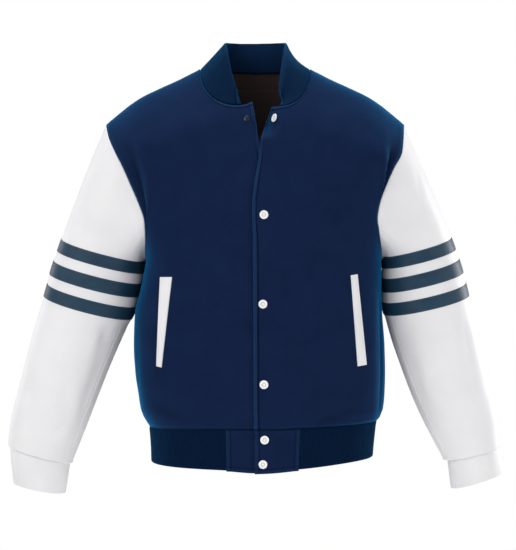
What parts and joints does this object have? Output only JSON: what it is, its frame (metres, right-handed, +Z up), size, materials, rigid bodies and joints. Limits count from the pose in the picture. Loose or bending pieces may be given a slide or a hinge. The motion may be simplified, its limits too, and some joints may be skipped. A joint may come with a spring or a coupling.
{
  "type": "varsity jacket",
  "caption": "Filled-out wool varsity jacket with leather sleeves, banded upper arms, rib collar and waistband, snap front and pocket welts.",
  "frame": {"origin": "middle plane of the body, level with the neck points of the shoulders, where the wearer's shoulders carry the jacket", "axes": "+X to the wearer's left, +Y to the wearer's back, +Z up"},
  "size_m": [0.8558, 0.3018, 0.7864],
  "materials": {
    "navy_wool": "soft napped melton",
    "navy_rib": "matte rib knit",
    "white_leather": "smooth, soft sheen",
    "dark_leather": "glossy",
    "brown_lining": "fine twill",
    "white_enamel": "gloss",
    "dark_metal": "dark plated"
  },
  "bodies": {
    "root": {"back": "navy_wool", "lining_back": "brown_lining", "front_right": "navy_wool", "front_left": "navy_wool", "collar": "navy_rib", "waist_rib": "navy_rib", "waist_tab_right": "navy_wool", "waist_tab_left": "navy_wool", "sleeve_upper_right": "white_leather", "sleeve_upper_left": "white_leather", "sleeve_under_right": "white_leather", "sleeve_under_left": "white_leather", "cuff_right": "white_leather", "cuff_left": "white_leather", "welt_right": "white_leather", "welt_left": "white_leather", "band_right_1": "dark_leather", "band_right_2": "dark_leather", "band_right_3": "dark_leather", "band_left_1": "dark_leather", "band_left_2": "dark_leather", "band_left_3": "dark_leather", "cuff_snap_right": "white_enamel", "cuff_snap_left": "white_enamel", "snap_1": "white_enamel", "snap_2": "white_enamel", "snap_3": "white_enamel", "snap_4": "white_enamel", "snap_5": "white_enamel", "snap_6": "white_enamel", "snap_stud": "dark_metal"}
  },
  "joints": []
}
